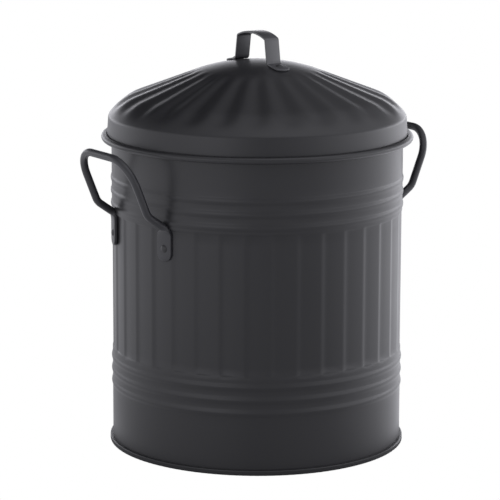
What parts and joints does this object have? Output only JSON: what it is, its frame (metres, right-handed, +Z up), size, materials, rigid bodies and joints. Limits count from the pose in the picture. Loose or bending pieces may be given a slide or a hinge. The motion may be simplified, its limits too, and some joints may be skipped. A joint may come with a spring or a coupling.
{
  "type": "mini trash can",
  "caption": "Small round sheet-steel bin with fluted wall, swaged ridges, wire side handles and a domed fluted lift-off lid with a strap handle; holds light waste on a desk or worktop.",
  "frame": {"origin": "on the floor, at the bin's axis", "axes": "+Z up along the bin's axis, the side handles on +X and -X, the lid's strap along Y, front towards -Y"},
  "size_m": [0.2286, 0.1938, 0.2584],
  "materials": {
    "charcoal_coat": "satin charcoal powder coat"
  },
  "bodies": {
    "bin": {"body_shell": "charcoal_coat", "base_pan": "charcoal_coat", "left_handle": "charcoal_coat", "right_handle": "charcoal_coat", "left_front_rivet": "charcoal_coat", "left_rear_rivet": "charcoal_coat", "right_front_rivet": "charcoal_coat", "right_rear_rivet": "charcoal_coat"},
    "lid": {"lid_shell": "charcoal_coat", "lid_handle": "charcoal_coat", "lid_front_rivet": "charcoal_coat", "lid_rear_rivet": "charcoal_coat"}
  },
  "joints": [
    {"name": "lid_lift", "type": "slide", "parent": "bin", "child": "lid", "axis": [0, 0, 1], "range_m": [0, 0.12]}
  ]
}
